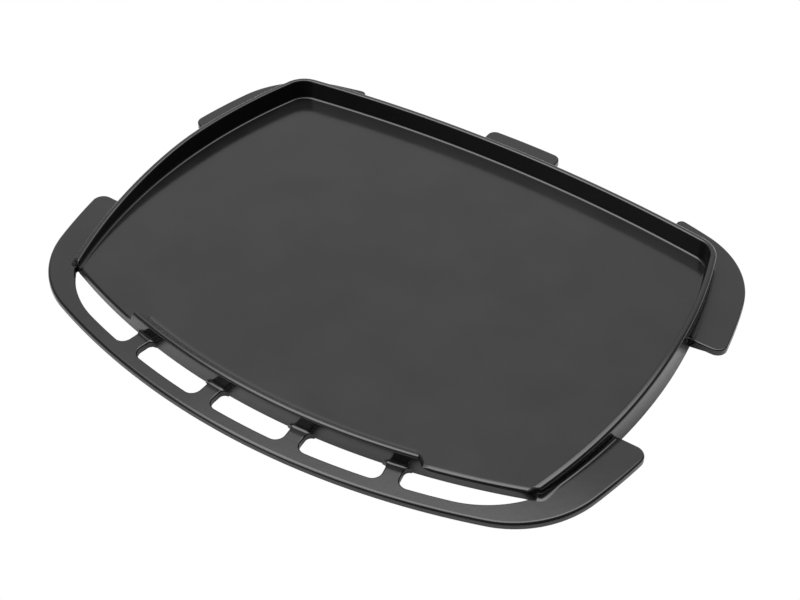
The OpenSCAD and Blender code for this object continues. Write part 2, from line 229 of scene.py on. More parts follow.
def fused_black_enamel():
    """Vitreous enamel fired black on sand-cast iron: a thin glass coat over a slightly uneven casting.

    The eye gets a nearly black body, an even satin reflection, and highlights that waver a
    little along the edges, where the glass has drawn back over the grain of the sand.
    """
    material = bpy.data.materials.new("fused_black_enamel_on_cast_iron")
    material.use_nodes = True
    tree = material.node_tree
    tree.nodes.clear()
    place = add_node(tree, "ShaderNodeTexCoord").outputs["Object"]
    # Firing leaves clouds of slightly thicker glass, about 40 mm across
    clouds = add_node(
        tree,
        "ShaderNodeTexNoise",
        {"Scale": 1 / (40 * MM), "Detail": 2.0, "Roughness": 0.5},
        {"Vector": place},
    )
    body = add_node(tree, "ShaderNodeValToRGB", {}, {"Fac": clouds.outputs["Fac"]})
    body.color_ramp.elements[0].position = 0.35
    body.color_ramp.elements[0].color = linear("#151515")
    body.color_ramp.elements[1].position = 0.65
    body.color_ramp.elements[1].color = linear("#1a1a1a")
    satin = add_node(
        tree,
        "ShaderNodeMapRange",
        {"From Min": 0.3, "From Max": 0.7, "To Min": 0.14, "To Max": 0.17},
        {"Value": clouds.outputs["Fac"]},
    )
    # Moulding sand is about 0.3 mm; it is drawn at 1.2 mm so that it shows at all
    sand = add_node(
        tree,
        "ShaderNodeTexNoise",
        {"Scale": 1 / (1.2 * MM), "Detail": 3.0, "Roughness": 0.6},
        {"Vector": place},
    )
    # The glass draws into a soft orange peel about 5 mm across
    peel = add_node(
        tree,
        "ShaderNodeTexNoise",
        {"Scale": 1 / (5 * MM), "Detail": 1.0, "Roughness": 0.4},
        {"Vector": place},
    )
    fine = add_node(
        tree,
        "ShaderNodeBump",
        {"Strength": 0.06, "Distance": 0.15 * MM},
        {"Height": sand.outputs["Fac"]},
    )
    soft = add_node(
        tree,
        "ShaderNodeBump",
        {"Strength": 0.1, "Distance": 0.2 * MM},
        {"Height": peel.outputs["Fac"], "Normal": fine.outputs["Normal"]},
    )
    glass = add_node(
        tree,
        "ShaderNodeBsdfPrincipled",
        {"IOR": 1.5, "Metallic": 0.0},
        {
            "Base Color": body.outputs["Color"],
            "Roughness": satin.outputs["Result"],
            "Normal": soft.outputs["Normal"],
        },
    )
    add_node(tree, "ShaderNodeOutputMaterial", {}, {"Surface": glass.outputs["BSDF"]})
    return material


def white_table_top(name, glow, paper):
    """White table top that gives the eye an even white: a sheet that glows, or one of plain matt paper."""
    material = bpy.data.materials.new(name)
    material.use_nodes = True
    tree = material.node_tree
    tree.nodes.clear()
    sheet = add_node(
        tree,
        "ShaderNodeBsdfPrincipled",
        {
            "Base Color": linear(paper),
            "Roughness": 0.8,
            "Specular IOR Level": 0.0,
            "Emission Color": linear("#ffffff"),
            "Emission Strength": glow,
        },
    )
    add_node(tree, "ShaderNodeOutputMaterial", {}, {"Surface": sheet.outputs["BSDF"]})
    return material


enamel = fused_black_enamel()


def cast_piece(name, shape, *nodes):
    """Makes one region of the casting from a shape in millimetres, and puts it in its nodes' place.

    A shape holds its points and faces, and, where its edges are known exactly, its points' normals.
    """
    points, faces = shape[:2]
    mesh = bpy.data.meshes.new(name)
    mesh.from_pydata((np.asarray(points, float) * MM).tolist(), [], faces)
    mesh.update()
    mesh.shade_smooth()
    mesh.materials.append(enamel)
    piece = bpy.data.objects.new(name, mesh)
    bpy.context.scene.collection.objects.link(piece)
    if len(shape) == 3:
        mesh.normals_split_custom_set_from_vertices(shape[2].tolist())
    else:
        mesh.set_sharp_from_angle(angle=math.radians(40))
        even = piece.modifiers.new("even_shading", "WEIGHTED_NORMAL")
        even.keep_sharp = True
    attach(piece, "root")
    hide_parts(*nodes)
    return piece


def mirrored(shape):
    """The same shape on the left-hand side, with its faces turned to stay outside out."""
    points, faces = shape[:2]
    normals = [n * [-1, 1, 1] for n in shape[2:]]
    return (points * [-1, 1, 1], [tuple(reversed(f)) for f in faces], *normals)


def skin(rings):
    """Closed skin over rings of points, with both ends capped. Rings run outside on the right."""
    rings = np.asarray(rings, float)
    steps, around = rings.shape[:2]
    faces = [tuple(range(around))]
    for i in range(steps - 1):
        for j in range(around):
            k = (j + 1) % around
            faces.append((i * around + j, (i + 1) * around + j, (i + 1) * around + k, i * around + k))
    faces.append(tuple(reversed(range((steps - 1) * around, steps * around))))
    return rings.reshape(-1, 3), faces


def rounded_section(corners, count=6):
    """Closed outline with arcs at its corners, from rows of (u, z, radius)."""
    points = []
    total = len(corners)
    for i in range(total):
        here = np.array(corners[i][:2], float)
        radius = corners[i][2]
        if radius == 0:
            points.append(here)
            continue
        before = toward(here, np.array(corners[i - 1][:2], float))
        after = toward(here, np.array(corners[(i + 1) % total][:2], float))
        half = math.acos(np.clip(before @ after, -1, 1)) / 2
        middle = here + toward(np.zeros(2), before + after) * radius / math.sin(half)
        start = heading(here + before * radius / math.tan(half) - middle)
        turn = turn_between(start, heading(here + after * radius / math.tan(half) - middle))
        for t in np.linspace(0, 1, count + 1):
            a = start + turn * t
            points.append(middle + radius * point(math.cos(a), math.sin(a)))
    return np.array(points)


def wall_section(rim_z):
    """Section of the wall: distances inwards from the rim's outer edge, and heights."""
    rise = (rim_z - FOOT_Z) / (RIM_Z - FOOT_Z)
    fall = (RIM_Z - rim_z) / (RIM_Z - FLOOR_Z)
    return rounded_section(
        [
            (WALL_BASE, 0, 0),
            (OUT_LEAN, 0, FOOT_ROUND),
            (OUT_LEAN, FOOT_Z, WALL_BEND_R),
            (OUT_LEAN * (1 - rise), rim_z, RIM_OUTER_ROUND),
            (RIM_T + IN_LEAN * fall, rim_z, RIM_ROUND),
            (RIM_T + IN_LEAN, FLOOR_Z, FLOOR_FILLET),
            (WALL_BASE, FLOOR_Z, 0),
        ]
    )


def outward(section):
    """Unit normals of a section that runs with its outside on the left."""
    along = np.roll(section, -1, 0) - np.roll(section, 1, 0)
    along /= np.linalg.norm(along, axis=1)[:, None]
    return np.stack([-along[:, 1], along[:, 0]], 1)


def smooth(x, low, high):
    """Smooth step from 0 at low to 1 at high."""
    t = np.clip((x - low) / (high - low), 0, 1)
    return t * t * (3 - 2 * t)


def soft_least(one, other, soft):
    """The lower of two heights, with a soft change from one to the other."""
    return 0.5 * (one + other - np.sqrt((one - other) ** 2 + soft * soft))


def side_rim_z(y):
    """Height of the side rim, which slants down to the front from a soft bend."""
    slope = (RIM_Z - RIM_FRONT_Z) / TAPER_LEN
    return soft_least(RIM_FRONT_Z + slope * (y - WALL_END[1]), RIM_Z, RIM_BEND_SOFT)


def turned(c, section, radius, a):
    """Ring of a section set at heading a on a curve, its distances inwards from radius."""
    r = radius - section[:, 0]
    a = np.broadcast_to(a, r.shape)
    return np.stack([c[0] + r * np.cos(a), c[1] + r * np.sin(a), section[:, 1]], 1)


def side_wall():
    """Right-hand side wall: its front end stands on the front wall's curve, with rounded edges."""

    def end_heading(section, back):
        """Headings at which a section's points lie a distance behind the front wall's curve."""
        found = []
        for u in section[:, 0]:
            p = crossing(PAN_SIDE_C, PAN_SIDE_R - u, FRONT_C, WALL_FACE_R - back, -1)
            found.append(heading(p - PAN_SIDE_C))
        return np.array(found)

    def foot_raised(section, behind):
        """The section with its foot lifted towards the front wall's lower edge."""
        lift = (FLOOR_Z - FRONT_T) * (1 - smooth(behind, RAISED_RUN, RAISED_END))
        raised = section.copy()
        low = section[:, 1] < FLOOR_UNDER_Z
        raised[low, 1] = lift + section[low, 1] * (1 - lift / FLOOR_UNDER_Z)
        return raised

    rings = []
    front = foot_raised(wall_section(side_rim_z(WALL_END[1])), 0)
    out = outward(front)
    inner = front[:, 0] > (RIM_T + OUT_LEAN) / 2
    # The end is rounded only where it stands clear of the floor and of the ear
    above = np.where(
        inner,
        smooth(front[:, 1], FLOOR_Z + 0.3, FLOOR_Z + 2.2),
        smooth(front[:, 1], EAR_Z, EAR_Z + 2),
    )
    for t in np.linspace(90, 0, 7):
        back = END_ROUND * (1 - math.sin(math.radians(t)))
        shrink = END_ROUND * (1 - math.cos(math.radians(t)))
        section = front - out * (shrink * above)[:, None]
        rings.append(turned(PAN_SIDE_C, section, PAN_SIDE_R, end_heading(front, back)))
    start = end_heading(front, END_ROUND)
    for t in np.linspace(0, 1, 110)[1:]:
        a = start + (SIDE_STOP - start) * t
        y = PAN_SIDE_C[1] + (PAN_SIDE_R - RIM_T / 2) * math.sin(a.mean())
        section = foot_raised(wall_section(side_rim_z(y)), y - WALL_END[1])
        rings.append(turned(PAN_SIDE_C, section, PAN_SIDE_R, a))
    return skin(rings)


def wall_run(c, radius, start, stop, count):
    """Wall of full height along one curve."""
    section = wall_section(RIM_Z)
    return skin([turned(c, section, radius, a) for a in np.linspace(start, stop, count)])


def plate(outline):
    """Ear-thick plate with rounded edges, from rows of (points, rounding) that run anticlockwise.

    Outer edges have rounding 1, and slots less. Outer edges get sharper towards the back. Rows with no
    rounding end square: there the casting runs on into its neighbour.
    """
    points = []
    keep = []
    for row, rounding in outline:
        for p in row:
            if points and np.linalg.norm(points[-1] - p) < 1e-6:
                keep[-1] = rounding
                continue
            points.append(np.asarray(p, float))
            keep.append(rounding)
    if np.linalg.norm(points[0] - points[-1]) < 1e-6:
        points.pop()
        keep.pop()
    loop = np.array(points)
    weight = np.array(keep, float)
    outer = weight == 1
    weight[outer] -= BACK_LOSS * smooth(loop[outer, 1], BEND_Y, BEND_Y + LOSS_RUN)
    tall = np.maximum(weight, np.roll(weight, 1))
    tall[tall == 0] = 1
    total = len(loop)
    along = np.roll(loop, -1, 0) - loop
    along /= np.linalg.norm(along, axis=1)[:, None]
    inside = np.stack([-along[:, 1], along[:, 0]], 1)
    # Each point moves in by the rounding of the edges before and after it
    shift = np.zeros_like(loop)
    for i in range(total):
        before, after = inside[i - 1], inside[i]
        least, most = sorted((weight[i - 1], weight[i]))
        if least == most or abs(before @ after) > 0.999:
            shift[i] = (before + after) / (1 + before @ after) * least
        else:
            shift[i] = np.linalg.solve(np.array([before, after]), weight[[i - 1, i]])
        shift[i] *= min(1.0, CORNER_REACH / max(np.linalg.norm(shift[i]), 1.0))
    # A trace of rounding gives square edges a direction too
    pull = inside * (weight + 0.001)[:, None]
    out = -(np.roll(pull, 1, 0) + pull)
    out /= np.linalg.norm(out, axis=1)[:, None]
    steps = np.radians(np.linspace(0, 90, 9))
    layers = [(q, UNDER_ROUND, EAR_Z - EAR_T, 1) for q in steps]
    layers += [(q, PLATE_ROUND, EAR_Z, -1) for q in reversed(steps)]
    rings = []
    normals = []
    for q, radius, level, up in layers:
        p = loop + shift * (radius * (1 - math.sin(q)))
        rings.append(np.column_stack([p, level + up * radius * (1 - math.cos(q)) * tall]))
        normals.append(np.column_stack([out * math.sin(q), np.full(total, -up * math.cos(q))]))
    faces = []
    for i in range(len(rings) - 1):
        for j in range(total):
            k = (j + 1) % total
            faces.append((i * total + j, i * total + k, (i + 1) * total + k, (i + 1) * total + j))
    top = len(rings) - 1
    flat = [Vector((p[0], p[1], 0)) for p in rings[top]]
    for a, b, c in tessellate_polygon([flat]):
        upward = (flat[b] - flat[a]).cross(flat[c] - flat[a]).z > 0
        over = (a, b, c) if upward else (a, c, b)
        faces.append(tuple(top * total + i for i in over))
        faces.append(tuple(reversed(over)))
    return np.concatenate(rings), faces, np.concatenate(normals)


def drooped(shape):
    """The shape bent down with the front flange, past a soft bend."""
    points, faces = shape[:2]
    run = points[:, 1] - BEND_Y + BEND_FORWARD
    slope = 0.5 * math.tan(DROOP) * (1 - run / np.sqrt(run * run + FLANGE_BEND_SOFT**2))
    lower = points.copy()
    lower[:, 2] += math.tan(DROOP) * soft_least(run, 0, FLANGE_BEND_SOFT)
    if len(shape) == 2:
        return lower, faces
    normals = shape[2].copy()
    normals[:, 1] -= slope * normals[:, 2]
    return lower, faces, normals / np.linalg.norm(normals, axis=1)[:, None]


def flip(points):
    """The same row of points on the left-hand side, run the other way."""
    return (np.asarray(points) * [-1, 1])[::-1]


# Headings where the outer curves of the ears and the rail meet
SIDE_FRONT = heading(toward(EAR_SIDE_C, FRONT_CORNER_C))
RAIL_END = heading(toward(FRONT_C, FRONT_CORNER_C))
SIDE_BACK = heading(toward(EAR_SIDE_C, BACK_CORNER_C))
BACK_END = heading(toward(EAR_BACK_C, BACK_CORNER_C))
BEND_HEADING = math.asin((BEND_Y - FRONT_CORNER_C[1]) / EAR_CORNER_R)

# Slots, as in the CAD source
WEB_ANGLES = [math.radians((i - 1.5) * WEB_PITCH) for i in range(4)]
SLOT_CORNER_X = WEB_W / 2 + SLOT_CORNER_R
SLOT_CORNER_Y = math.sqrt((SLOT_R - SLOT_CORNER_R) ** 2 - SLOT_CORNER_X**2)
WEB_END_R = SLOT_CORNER_Y - WEB_STUB
CRESCENT_ANGLE = RAIL_END + math.pi / 2 - math.radians(CRESCENT_LEAD)
CRESCENT_C = FRONT_C + (SLOT_R - CRESCENT_R) * ray(CRESCENT_ANGLE)
TIP_C = crossing(FRONT_C, WALL_FACE_R, CRESCENT_C, CRESCENT_R - SLOT_TIP_R, 1)
TIP_IN = toward(TIP_C, FRONT_C)
TIP_ALONG = point(TIP_IN[1], -TIP_IN[0])


def on_web(a, x, y):
    """Point on a web that stands at an angle: x across it, y out from the middle of the front curves."""
    return FRONT_C + x * point(math.cos(a), math.sin(a)) + y * ray(a)


def foot_point(y):
    """Point inside the right-hand side wall's foot at a given y."""
    return right_point(PAN_SIDE_C, TUCK_SIDE_R, y)


def beside_web(a, side, c, r, start, step):
    """Round slot corner, from a heading on its own circle to the web's side."""
    turn = turn_between(start, heading(-side * point(math.cos(a), math.sin(a))))
    return arc(c, r, start, start + turn, step)


def slot_corner(a, side):
    """Round slot corner beside a web, from the slot's outer curve to the web's side."""
    c = on_web(a, side * SLOT_CORNER_X, SLOT_CORNER_Y)
    return beside_web(a, side, c, SLOT_CORNER_R, heading(toward(FRONT_C, c)), 0.8)


def rail_shape():
    """Handle rail with the slots' outer edges, from one front corner round to the other."""
    outer_right = np.concatenate(
        [
            arc(FRONT_C, RAIL_R, -math.pi / 2, RAIL_END),
            arc(FRONT_CORNER_C, EAR_CORNER_R, RAIL_END, BEND_HEADING)[1:],
        ]
    )
    foot = foot_point(BEND_Y)
    corner = crossing(PAN_SIDE_C, TUCK_SIDE_R, FRONT_C, WALL_FACE_R - TUCK, -1)
    hidden = [foot, corner, TIP_C + SLOT_TIP_R * TIP_ALONG + TUCK * TIP_IN]
    tip_stop = heading(toward(CRESCENT_C, TIP_C))
    start = heading(ray(CRESCENT_ANGLE))
    tip = arc(TIP_C, SLOT_TIP_R, heading(TIP_ALONG), tip_stop, 0.5)
    crescent = np.concatenate([tip, arc(CRESCENT_C, CRESCENT_R, tip_stop, start)[1:]])
    rows = [(np.array(hidden), 0), (crescent, SLOT_SHARE)]
    for a in reversed(WEB_ANGLES):
        right = slot_corner(a, 1)
        left = slot_corner(a, -1)[::-1]
        right_end = on_web(a, WEB_W / 2, WEB_END_R)
        left_end = on_web(a, -WEB_W / 2, WEB_END_R)
        stop = heading(right[0] - FRONT_C)
        rows.append((arc(FRONT_C, SLOT_R, start, stop), SLOT_SHARE))
        rows.append((np.concatenate([right, [right_end]]), SLOT_SHARE))
        rows.append((np.array([right_end, left_end]), 0))
        rows.append((np.concatenate([[left_end], left]), SLOT_SHARE))
        start = heading(left[-1] - FRONT_C)
    stop = heading(flip(crescent)[0] - FRONT_C)
    rows.append((arc(FRONT_C, SLOT_R, start, stop), SLOT_SHARE))
    rows.append((flip(crescent), SLOT_SHARE))
    rows.append((flip(hidden), 0))
    rows.append((np.concatenate([flip(outer_right), outer_right[1:]]), 1))
    rows.append((np.array([outer_right[-1], foot]), 0))
    return drooped(plate(rows))


def web_root(a, side):
    """Round slot corner where a web flares into the front wall, from the wall to the web's side."""
    x = WEB_W / 2 + WEB_ROOT_R
    c = on_web(a, side * x, math.sqrt((WALL_FACE_R + WEB_ROOT_R) ** 2 - x * x))
    inwards = toward(c, FRONT_C)
    curve = beside_web(a, side, c, WEB_ROOT_R, heading(inwards), 0.6)
    return np.concatenate([[curve[0] + TUCK * inwards], curve])


def web_shape(a):
    """Web that carries the rail, flared where it leaves the front wall."""
    half = WEB_W / 2
    left = np.concatenate([web_root(a, -1), [on_web(a, -half, WEB_END_R)]])
    right = np.concatenate([web_root(a, 1), [on_web(a, half, WEB_END_R)]])[::-1]
    rows = [
        (np.array([right[-1], left[0]]), 0),
        (left, SLOT_SHARE),
        (np.array([left[-1], right[0]]), 0),
        (right, SLOT_SHARE),
    ]
    return drooped(plate(rows))


def front_ear():
    """Right-hand front ear, from the flange's bend to the notch beside the pan."""
    c = right_point(EAR_SIDE_C, EAR_SIDE_R - FRONT_EAR_R, FRONT_EAR_END_Y - FRONT_EAR_R)
    turn = heading(toward(EAR_SIDE_C, c))
    end = foot_point(FRONT_EAR_END_Y)
    outer = np.concatenate(
        [
            arc(FRONT_CORNER_C, EAR_CORNER_R, BEND_HEADING, SIDE_FRONT),
            arc(EAR_SIDE_C, EAR_SIDE_R, SIDE_FRONT, turn)[1:],
            arc(c, FRONT_EAR_R, turn, math.pi / 2, 0.8)[1:],
            [end],
        ]
    )
    bend = foot_point(BEND_Y)
    foot = arc(PAN_SIDE_C, TUCK_SIDE_R, heading(end - PAN_SIDE_C), heading(bend - PAN_SIDE_C))
    rows = [(np.array([foot[-1], outer[0]]), 0), (outer, 1), (foot, 0)]
    return drooped(plate(rows))


def back_ear():
    """Right-hand back ear, from the notch beside the pan round the corner to the gap beside the tab."""
    side_c = right_point(EAR_SIDE_C, EAR_SIDE_R - BACK_EAR_SIDE_R, BACK_EAR_END_Y + BACK_EAR_SIDE_R)
    side_turn = heading(toward(EAR_SIDE_C, side_c))
    end_c = back_point(EAR_BACK_C, EAR_BACK_R - BACK_EAR_END_R, BACK_EAR_GAP / 2 + BACK_EAR_END_R)
    end_turn = heading(toward(EAR_BACK_C, end_c))
    start = foot_point(BACK_EAR_END_Y)
    end = back_point(PAN_BACK_C, TUCK_BACK_R, BACK_EAR_GAP / 2)
    outer = np.concatenate(
        [
            [start],
            arc(side_c, BACK_EAR_SIDE_R, -math.pi / 2, side_turn, 0.8),
            arc(EAR_SIDE_C, EAR_SIDE_R, side_turn, SIDE_BACK)[1:],
            arc(BACK_CORNER_C, EAR_CORNER_R, SIDE_BACK, BACK_END)[1:],
            arc(EAR_BACK_C, EAR_BACK_R, BACK_END, end_turn)[1:],
            arc(end_c, BACK_EAR_END_R, end_turn, math.pi, 0.6)[1:],
            [end],
        ]
    )
    foot = np.concatenate(
        [
            arc(PAN_BACK_C, TUCK_BACK_R, heading(end - PAN_BACK_C), BACK_START),
            arc(PAN_CORNER_C, TUCK_CORNER_R, BACK_START, SIDE_STOP, 1.0)[1:],
            arc(PAN_SIDE_C, TUCK_SIDE_R, SIDE_STOP, heading(start - PAN_SIDE_C))[1:],
        ]
    )
    return plate([(outer, 1), (foot, 0)])


def tab_shape():
    """Flat tab behind the middle of the back wall."""
    c = back_point(EAR_BACK_C, EAR_BACK_R - TAB_R, TAB_W / 2 - TAB_R)
    turn = heading(toward(EAR_BACK_C, c))
    foot_end = back_point(PAN_BACK_C, TUCK_BACK_R, TAB_W / 2)
    right = np.concatenate(
        [
            [foot_end],
            arc(c, TAB_R, 0, turn, 0.8),
            arc(EAR_BACK_C, EAR_BACK_R, turn, math.pi / 2)[1:],
        ]
    )
    outer = np.concatenate([right, flip(right)[1:]])
    spread = heading(foot_end - PAN_BACK_C)
    foot = arc(PAN_BACK_C, TUCK_BACK_R, math.pi - spread, spread)
    return plate([(outer, 1), (foot, 0)])


def band(section, path):
    """Skin of a section carried along the pan's outline."""
    return skin([turned(c, section, r, a) for c, r, a in path])


def fillet_section(foot, grown=1.0):
    """Hollow fillet between a plate's top and the wall, whose face lies at distance foot."""
    curve = [
        (foot - LEDGE_W * grown * (1 - math.sin(q)), EAR_Z + LEDGE_H * grown * (1 - math.cos(q)))
        for q in np.linspace(0, math.pi / 2, 9)
    ]
    under = [(foot + SUNK, EAR_Z - SUNK), (curve[0][0], EAR_Z - SUNK)]
    return np.array(under + curve + [(foot + SUNK, curve[-1][1])])


def rib_section():
    """Rib under a back ear, along the wall's foot."""
    high = EAR_Z - EAR_T
    return rounded_section(
        [
            (OUT_LEAN + SUNK, high - RIB_H, 0),
            (OUT_LEAN - RIB_W, high - RIB_H, RIB_ROUND),
            (OUT_LEAN - RIB_W, high + SUNK, 0),
            (OUT_LEAN + SUNK, high + SUNK, 0),
        ]
    )


def side_heading(y):
    """Heading of the right-hand side wall's outer edge at a given y."""
    return math.asin((y - PAN_SIDE_C[1]) / PAN_SIDE_R)


def front_foot():
    """Fillet from the outer slot's tip along the sill, round the side wall's end and along the ear."""
    c = crossing(PAN_SIDE_C, PAN_SIDE_R - OUT_LEAN - TURN_R, FRONT_C, WALL_FACE_R - TURN_R, -1)
    tip = heading(TIP_C - FRONT_C) + (SLOT_TIP_R + 0.6) / WALL_FACE_R
    turn = heading(c - FRONT_C)
    side = heading(c - PAN_SIDE_C)
    end = side_heading(FRONT_EAR_END_Y - PLATE_ROUND)
    # The fillet starts small at the slot's tip and is plain again soon after the turn
    small, grown_by, plain_by = 0.5, tip + (turn - tip) * 0.45, side + 0.04
    path = [
        (FRONT_C, WALL_FACE_R + OUT_LEAN, a, small + (TURN_GROWN - small) * smooth(a, tip, grown_by))
        for a in np.linspace(tip, turn, 24)
    ]
    path += [(c, TURN_R + OUT_LEAN, a, TURN_GROWN) for a in np.linspace(turn, side, 12)[1:]]
    path += [
        (PAN_SIDE_C, PAN_SIDE_R, a, 1 + (TURN_GROWN - 1) * smooth(-a, -plain_by, -side))
        for a in np.linspace(side, end, 60)[1:]
    ]
    rings = [turned(c, fillet_section(OUT_LEAN, grown), r, a) for c, r, a, grown in path]
    return drooped(skin(rings))


def back_band(section, short):
    """Skin of a section along a back ear's whole foot, short of both its ends by a distance."""
    side = np.linspace(side_heading(BACK_EAR_END_Y + short), SIDE_STOP, 24)
    corner = np.linspace(SIDE_STOP, BACK_START, 14)
    end = math.acos((BACK_EAR_GAP / 2 + short) / PAN_BACK_R)
    back = np.linspace(BACK_START, end, 14)
    path = [(PAN_SIDE_C, PAN_SIDE_R, a) for a in side]
    path += [(PAN_CORNER_C, PAN_CORNER_R, a) for a in corner[1:]]
    path += [(PAN_BACK_C, PAN_BACK_R, a) for a in back[1:]]
    return band(section, path)


def web_foot(a):
    """Fillet between a web and the front wall, a little wider than the web, with blunt fading ends."""
    half = (WEB_W / 2 + WEB_FOOT_PAST) / WALL_FACE_R
    rings = []
    for s in np.linspace(-1, 1, 17):
        section = fillet_section(0.0, max(0.08, math.sqrt(1 - abs(s) ** 6)))
        rings.append(turned(FRONT_C, section, WALL_FACE_R, a + half * s - math.pi / 2))
    return drooped(skin(rings))


def tab_foot():
    """Fillet between the tab and the back wall."""
    spread = (TAB_W / 2 - PLATE_ROUND) / PAN_BACK_R
    run = np.linspace(math.pi / 2 - spread, math.pi / 2 + spread, 20)
    return band(fillet_section(OUT_LEAN), [(PAN_BACK_C, PAN_BACK_R, a) for a in run])


def floor_shape():
    """Flat cooking floor, which ends square at the walls' fillets, the lip and the sills."""
    side_r = PAN_SIDE_R - WALL_BASE
    end = crossing(PAN_SIDE_C, side_r, FRONT_C, SILL_R, -1)
    right = np.concatenate(
        [
            arc(FRONT_C, SILL_R, -math.pi / 2, heading(end - FRONT_C)),
            arc(PAN_SIDE_C, side_r, heading(end - PAN_SIDE_C), SIDE_STOP)[1:],
            arc(PAN_CORNER_C, PAN_CORNER_R - WALL_BASE, SIDE_STOP, BACK_START, 0.8)[1:],
            arc(PAN_BACK_C, PAN_BACK_R - WALL_BASE, BACK_START, math.pi / 2)[1:],
        ]
    )
    loop = np.concatenate([right, flip(right)[1:-1]])
    rings = [np.column_stack([loop, np.full(len(loop), z)]) for z in (FLOOR_Z, FLOOR_UNDER_Z)]
    return skin(rings)


def sill():
    """Right-hand drain sill: the floor runs out over a soft nose, which starts sharp beside the lip."""
    start = math.radians(LIP_ANGLE)
    rings = []
    for t in np.concatenate([np.linspace(0, 0.12, 8), np.linspace(0.12, 1, 30)[1:]]):
        full = smooth(t * SILL_RUN, 0, NOSE_RUN)
        nose = NOSE_START_ROUND + (NOSE_ROUND - NOSE_START_ROUND) * full
        section = rounded_section(
            [
                (SILL_W, FLOOR_Z - FRONT_T, 0),
                (0, FLOOR_Z - FRONT_T, FOOT_ROUND),
                (0, FLOOR_Z - SILL_DIP * max(DIP_START, full), nose),
                (NOSE_W, FLOOR_Z, NOSE_BEND_R),
                (SILL_W, FLOOR_Z, 0),
            ]
        )
        stop = []
        for u in section[:, 0]:
            p = crossing(PAN_SIDE_C, PAN_SIDE_R - WALL_BASE, FRONT_C, WALL_FACE_R - u, -1)
            stop.append(heading(p - FRONT_C) + math.pi / 2)
        a = start + (np.array(stop) - start) * t - math.pi / 2
        rings.append(turned(FRONT_C, section, WALL_FACE_R, a))
    return skin(rings)


def lean_share(s):
    """How much of the face's lean is left at a place along the lip: none at its ends."""
    return smooth(LIP_RUN - abs(s), 0, LEAN_RUN)


def front_wall():
    """Low wall under the lip: upright at its foot, then leaning back a little."""
    rings = []
    for s in np.linspace(-LIP_RUN, LIP_RUN, 100):
        # A hair of lean is left at the ends, because a straight corner can't be rounded
        lean = FACE_LEAN * lean_share(s) * (FLOOR_Z - FACE_BEND_Z) + 0.001
        section = rounded_section(
            [
                (SILL_W, FLOOR_Z - FRONT_T, 0),
                (0, FLOOR_Z - FRONT_T, FOOT_ROUND),
                (0, FACE_BEND_Z, FACE_BEND_R),
                (lean, FLOOR_Z, 0),
                (SILL_W, FLOOR_Z, 0),
            ]
        )
        rings.append(turned(FRONT_C, section, WALL_FACE_R, s / WALL_FACE_R - math.pi / 2))
    return skin(rings)


def lip():
    """Raised lip: it carries the front face up, and falls in a hollow curve to the floor inside."""
    foot = FACE_LEAN * (FLOOR_Z - FACE_BEND_Z)
    top_u = foot + FACE_LEAN * LIP_H
    hollow_z = LIP_HOLLOW_R * (1 - math.cos(LIP_SLOPE))
    crest_u = top_u + LIP_CREST
    hollow_u = crest_u + (LIP_H - hollow_z) / math.tan(LIP_SLOPE)
    tail = hollow_u + LIP_HOLLOW_R * math.sin(LIP_SLOPE)
    crest = rounded_section(
        [
            (foot, FLOOR_Z, 0),
            (top_u, FLOOR_Z + LIP_H, LIP_ROUND),
            (crest_u, FLOOR_Z + LIP_H, CREST_BACK_ROUND),
            (hollow_u, FLOOR_Z + hollow_z, 0),
        ],
        10,
    )
    # The hollow's end dives just under the floor, so that no edge shows there
    hollow = [
        (tail - LIP_HOLLOW_R * math.sin(q), FLOOR_Z - 0.015 + LIP_HOLLOW_R * (1 - math.cos(q)))
        for q in np.linspace(LIP_SLOPE, 0, 20)[1:]
    ]
    outline = np.concatenate([crest, hollow])
    inwards = smooth(outline[:, 0], LIP_END_FROM, LIP_END_TO)
    steep = LIP_END_STEEP + (LIP_END_INNER - LIP_END_STEEP) * inwards
    short = LIP_END_BOW * np.clip(outline[:, 0] - 1, 0, None) ** 2
    near = np.concatenate([np.linspace(0, 4, 20), np.linspace(4, LIP_RUN, 70)[1:]])
    rings = []
    for s in np.concatenate([near - LIP_RUN, (LIP_RUN - near)[::-1][1:]]):
        limit = steep * (LIP_RUN - abs(s) - short)
        low = soft_least(outline[:, 1] - FLOOR_Z, limit, LIP_END_SOFT)
        back = foot * (lean_share(s) - 1) * smooth(-outline[:, 0], -SILL_W, -foot)
        held = np.column_stack([outline[:, 0] + back, FLOOR_Z + np.clip(low, -LIP_SUNK, None)])
        under = np.array([[tail, FLOOR_Z - LIP_UNDER], [held[0, 0], FLOOR_Z - LIP_UNDER]])
        section = np.concatenate([held, under])
        rings.append(turned(FRONT_C, section, WALL_FACE_R, s / WALL_FACE_R - math.pi / 2))
    return skin(rings)


def place_both(name, shape, node_right, node_left):
    """Makes a right-hand region and its mirror image."""
    cast_piece(name + "_right", shape, node_right)
    cast_piece(name + "_left", mirrored(shape), node_left)


cast_piece("flat_cooking_floor", floor_shape(), "cooking_floor")
place_both("slanting_side_wall", side_wall(), "right_side_wall", "left_side_wall")
corner_wall = wall_run(PAN_CORNER_C, PAN_CORNER_R, SIDE_STOP, BACK_START, 20)
place_both("round_back_corner", corner_wall, "back_right_corner", "back_left_corner")
long_wall = wall_run(PAN_BACK_C, PAN_BACK_R, BACK_START, math.pi - BACK_START, 90)
cast_piece("high_back_wall", long_wall, "back_wall")
cast_piece("low_front_wall", front_wall(), "front_wall")
cast_piece("fat_lip", lip(), "front_lip")
place_both("drain_sill", sill(), "right_drain_sill", "left_drain_sill")
cast_piece("lifting_rail", rail_shape(), "handle_rail")
for i, a in enumerate(WEB_ANGLES):
    cast_piece(f"rail_web_bar_{i + 1}", web_shape(a), f"rail_web_{i + 1}")
    cast_piece(f"web_foot_fillet_{i + 1}", web_foot(a), f"web_ledge_{i + 1}")
place_both("front_ear_plate", front_ear(), "front_right_ear", "front_left_ear")
